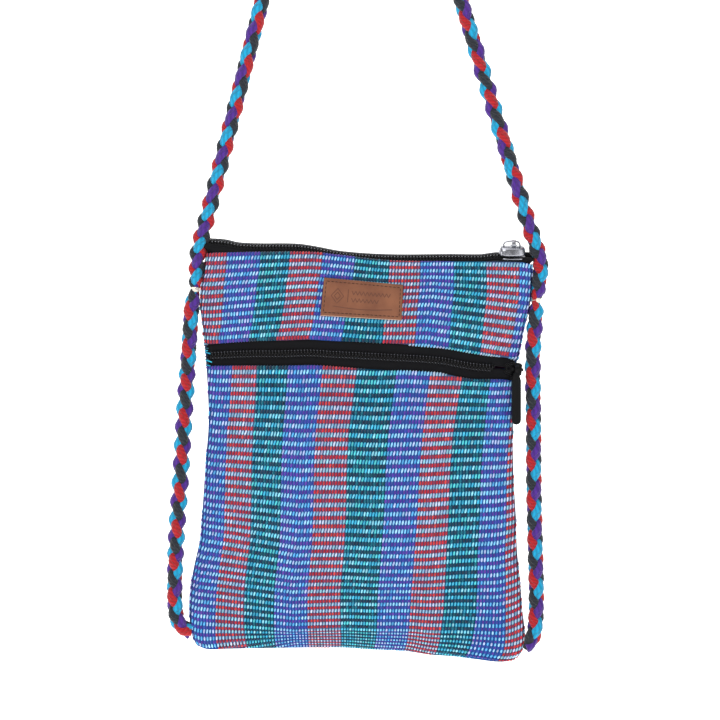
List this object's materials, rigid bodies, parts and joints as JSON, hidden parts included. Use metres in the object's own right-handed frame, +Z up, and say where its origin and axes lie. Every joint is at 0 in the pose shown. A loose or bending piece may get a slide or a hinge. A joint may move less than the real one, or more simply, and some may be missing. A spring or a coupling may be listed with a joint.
{
  "type": "woven passport bag",
  "caption": "Small handwoven shoulder pouch with a zipped mouth, a zipped front pocket, a leather label and a round braided strap.",
  "frame": {"origin": "underside of the strap's highest bend, where the bag hangs from a shoulder or a peg", "axes": "+Z up along the hanging bag, the zipped front with the label faces -Y, +X to the viewer's right"},
  "size_m": [0.1922, 0.0389, 0.4648],
  "materials": {
    "woven_cloth": "handwoven cotton, striped, warp floats",
    "zip_tape": "black woven tape",
    "zip_coil": "black nylon coil",
    "plated_metal": "nickel plated die casting",
    "black_metal": "black enamelled die casting",
    "leather": "matt brown leather, stitched edge",
    "braid_yarn": "four colour cotton yarn braid",
    "cream_thread": "cream cotton thread"
  },
  "bodies": {
    "bag": {"back_panel": "woven_cloth", "front_yoke": "woven_cloth", "pocket_front": "woven_cloth", "main_tape_front": "zip_tape", "main_tape_back": "zip_tape", "main_chain": "zip_coil", "main_slider": "plated_metal", "pocket_tape_upper": "zip_tape", "pocket_tape_lower": "zip_tape", "pocket_chain": "zip_coil", "pocket_slider": "black_metal", "leather_label": "leather", "strap_loop": "braid_yarn", "side_braid_left": "braid_yarn", "side_braid_right": "braid_yarn", "thread_tie_left": "cream_thread", "thread_tie_right": "cream_thread"},
    "main_puller": {"main_puller": "plated_metal"},
    "pocket_puller": {"pocket_puller": "black_metal"}
  },
  "joints": [
    {"name": "main_puller_turn", "type": "hinge", "parent": "bag", "child": "main_puller", "pos_m": [0.07894, 0, -0.24787], "axis": [1, 0, 0], "range_deg": [0, 98]},
    {"name": "pocket_puller_turn", "type": "hinge", "parent": "bag", "child": "pocket_puller", "pos_m": [0.07976, -0.00728, -0.31042], "axis": [-0.9894, -0.1452, 0], "range_deg": [0, 150]}
  ]
}
